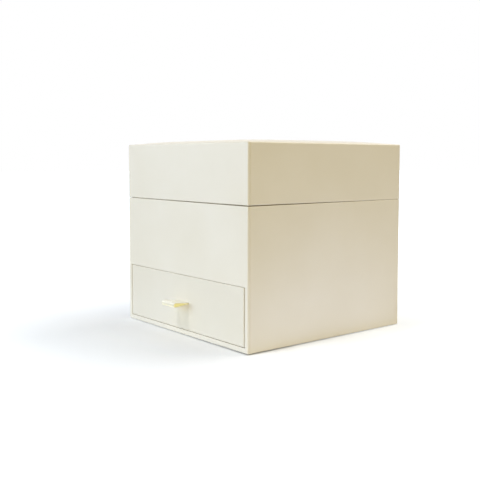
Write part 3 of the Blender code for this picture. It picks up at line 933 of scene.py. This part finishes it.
def makeRoll(shape, index):
    # One velvet roll: foam inside, the cloth drawn tight and tucked in at its ends
    low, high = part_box("ring_roll_" + str(index))
    middle = Vector(((low.x + high.x) / 2, (low.y + high.y) / 2, 0))
    reach, half, height = (high.x - low.x) / 2, (high.y - low.y) / 2, high.z - low.z
    right = list(shape["outline"])
    outline = right + [(-across, up) for across, up in reversed(right[1:-1])]
    alongScale, roundScale, rollScale = shape["waveScale"]
    rings = []
    count = shape["stations"]
    for i in range(count + 1):
        x = -math.cos(math.pi * i / count) * reach
        inset = min(1.0, (reach - abs(x)) / shape["end"])
        size = shape["endSize"] + shape["endSwell"] * math.sqrt(max(0.0, 1 - (1 - inset) ** 2))
        lift = (1 - size) * shape["endLift"]
        ring = []
        for across, up in outline:
            wave = noise.noise(Vector((x * alongScale, across * roundScale, index * rollScale + up)))
            swell = 1 + shape["wave"] * wave * inset
            y = middle.y + across * half * min(1.0, size * swell)
            rise = lift * min(1.0, 3 * up) + up * size * swell * shape["fill"]
            ring.append(Vector((middle.x + x, y, low.z + height * min(1.0, rise))))
        rings.append(ring)
    roll = loft("ringRoll" + str(index), rings, closeFirst=True, closeLast=True)
    puffUp(roll, padLook, shape["voxel"], low, high)
    dress(roll, pile, "drawer", "velvet", "ring_roll_" + str(index))


for rollIndex in range(1, 7):
    makeRoll(rollShape, rollIndex)
print("velvet made")


# CAD nodes that stay, each with its own finish

linerNodes = ("base_bottom_sheet", "bay_liner", "compartment_floor_liner", "lid_liner", "drawer_liner")
for nodeName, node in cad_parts.items():
    if nodeName in linerNodes:
        finish = liner
    elif nodeName == "neck_wrap":
        # darker and browner than the liners, so that it partly paints the shade of the seam between lid and
        # base
        finish = neckPaper  # the seam shows it, brownish
    elif nodeName.endswith("_board"):
        finish = greyboard
    else:
        continue
    node.data.materials.clear()
    node.data.materials.append(finish)
print("kept nodes finished")


# Floor, world and lights

stageLook = {
    "floor": srgb(234, 234, 234),
    "floorSize": 6.0,
    "gap": 0.0003,  # how far under the box's middle the table is
    "lean": 0.0024,  # radians that the table falls away towards the near corner
    # close to the box's near corner the floor has less lift, so that the contact shade shows as a darker
    # line: where that corner is, how much lift is left there, how far off it is whole, and how wide the
    # darker line is
    "nearCorner": (0.075, -0.075, 0.0),
    "nearLift": 0.0,
    "nearFade": 0.10,
    "lineWidth": 0.0015,
    "far": srgb(140, 126, 104),  # what light finds beyond the white table
    "table": (0.18, 0.55),  # where the white starts to fall off, and where it has gone
    "liftTint": (0.93, 1.03, 1.12, 1.0),  # colour of the emission that only camera rays see
    # the block of floor before the drawer that keeps its shade: its middle, half its size, how
    # much lift it has, and how far off the lift is 1, which is white
    "shadeMiddle": (-0.0025, -0.045, 0.0),
    "shadeHalf": (0.0425, 0.045, 0.0),
    "shadeLift": 0.10,
    "shadeFade": 0.32,
    # a little more lift along the foot of the box's right side: painted light over the shade there
    "footMiddle": (0.0825, 0.005, 0.0),
    "footHalf": (0.0, 0.035, 0.0),
    "footFade": 0.012,
    "footLift": 0.10,
    # the lit table right of the box, brighter than white, as the box's side sees it
    "glow": (0.307, 0.467, 1.0, 1.0),
    "glowMiddle": (0.15, 0.0, 0.0),
    "glowHalf": (0.03, 0.06, 0.0),
    "glowFade": 0.05,
    "glowStrength": 0.913,
    "world": (0.302, 0.290, 0.277, 1.0),
    "aim": (0, 0, 0.07),
    "lamps": (
        # name, direction (degrees from -Y towards +X, height), distance, width and height, power, colour
        ("overheadFront", (-3, 52), 1.1, (0.14, 0.14), 3.07, (0.973, 0.961, 1.0)),
        ("rightBack", (160, 46), 1.3, (1.5, 0.6), 8.88, (1.0, 0.961, 0.932)),
        ("frontLeft", (-20, 12), 1.5, (1.4, 1.0), 14.60, (0.647, 0.792, 1.0)),
        ("rightFill", (75, 14), 1.5, (1.6, 1.0), 4.68, (1.0, 0.794, 0.105)),
    ),
}


def fromBlock(tree, place, middle, half):
    # How far a point of the floor is from a rectangle on it
    offset = place
    nothing = (0, 0, 0)
    for step, by in (("SUBTRACT", middle), ("ABSOLUTE", nothing), ("SUBTRACT", half), ("MAXIMUM", nothing)):
        offset = addNode(tree, "ShaderNodeVectorMath", {0: offset, 1: by}, operation=step).outputs["Vector"]
    return addNode(tree, "ShaderNodeVectorMath", {0: offset}, operation="LENGTH").outputs["Value"]


def floorLift(tree, place, look):
    # How much painted light the camera sees on the floor: lifted to white, less in the drawer's shade and
    # along the line under the near corner, more along the right side's foot, over its shade
    fromShade = fromBlock(tree, place, look["shadeMiddle"], look["shadeHalf"])
    white = spread(tree, fromShade, 0.0, look["shadeFade"], look["shadeLift"], 1.0)
    fromFoot = fromBlock(tree, place, look["footMiddle"], look["footHalf"])
    foot = spread(tree, fromFoot, 0.0, look["footFade"], look["footLift"], 0.0)
    white = calculate(tree, "ADD", white, foot)
    corner = {0: place, 1: look["nearCorner"]}
    fromCorner = addNode(tree, "ShaderNodeVectorMath", corner, operation="DISTANCE").outputs["Value"]
    least = spread(tree, fromCorner, 0.0, look["nearFade"], look["nearLift"], 1.0)
    fromBox = fromBlock(tree, place, (0, 0, 0), [abs(value) for value in look["nearCorner"]])
    share = spread(tree, fromBox, 0.0, look["lineWidth"], least, 1.0)
    return calculate(tree, "MULTIPLY", white, share)


def makeFloor(look):
    bm = bmesh.new()
    bmesh.ops.create_grid(bm, x_segments=1, y_segments=1, size=look["floorSize"])
    floor = newPiece("floor", bm)
    floor.location.z = -look["gap"]
    floor.rotation_euler = (look["lean"], look["lean"], 0.0)
    material, tree, shader = newMaterial("floor")
    setShader(shader, {"Roughness": 1.0, "Specular IOR Level": 0.0})
    camera = addNode(tree, "ShaderNodeLightPath").outputs["Is Camera Ray"]
    place = ownPlace(tree)
    lift = floorLift(tree, place, look)
    fromGlow = fromBlock(tree, place, look["glowMiddle"], look["glowHalf"])
    glow = spread(tree, fromGlow, 0.0, look["glowFade"], look["glowStrength"], 0.0)
    strength = addNode(tree, "ShaderNodeMix", {0: camera, 2: glow, 3: lift})
    tree.links.new(strength.outputs[0], shader.inputs["Emission Strength"])
    tint = blendColours(tree, camera, look["glow"], look["liftTint"])
    tree.links.new(tint, shader.inputs["Emission Color"])
    # bounced light finds the white table's end, which the camera doesn't see
    away = addNode(tree, "ShaderNodeVectorMath", {0: place}, operation="LENGTH").outputs["Value"]
    off = spread(tree, away, *look["table"], 0.0, 1.0)
    off = calculate(tree, "MULTIPLY", off, calculate(tree, "SUBTRACT", 1.0, camera))
    tree.links.new(blendColours(tree, off, look["floor"], look["far"]), shader.inputs["Base Color"])
    floor.data.materials.append(material)


def makeWorld(look):
    # White where it is seen or mirrored, and a soft grey light on the box
    world = bpy.data.worlds.new("studio")
    scene.world = world
    world.use_nodes = True
    tree = world.node_tree
    path = addNode(tree, "ShaderNodeLightPath").outputs
    direct = calculate(tree, "MAXIMUM", path["Is Camera Ray"], path["Is Glossy Ray"])
    direct = calculate(tree, "MAXIMUM", direct, path["Is Transmission Ray"])
    tint = blendColours(tree, direct, look["world"], (1, 1, 1, 1))
    tree.links.new(tint, tree.nodes["Background"].inputs["Color"])


def makeLamps(look):
    aim = Vector(look["aim"])
    for name, (turn, rise), distance, (width, height), power, colour in look["lamps"]:
        data = bpy.data.lights.new(name, "AREA")
        data.shape = "ELLIPSE"
        data.size, data.size_y = width, height
        data.energy = power
        data.color = colour
        lamp = bpy.data.objects.new(name, data)
        turn, rise = math.radians(turn), math.radians(rise)
        away = Vector((math.sin(turn) * math.cos(rise), -math.cos(turn) * math.cos(rise), math.sin(rise)))
        lamp.location = aim + distance * away
        lamp.rotation_euler = away.to_track_quat("Z", "Y").to_euler()
        scene.collection.objects.link(lamp)


makeFloor(stageLook)
makeWorld(stageLook)
makeLamps(stageLook)
print("stage made")
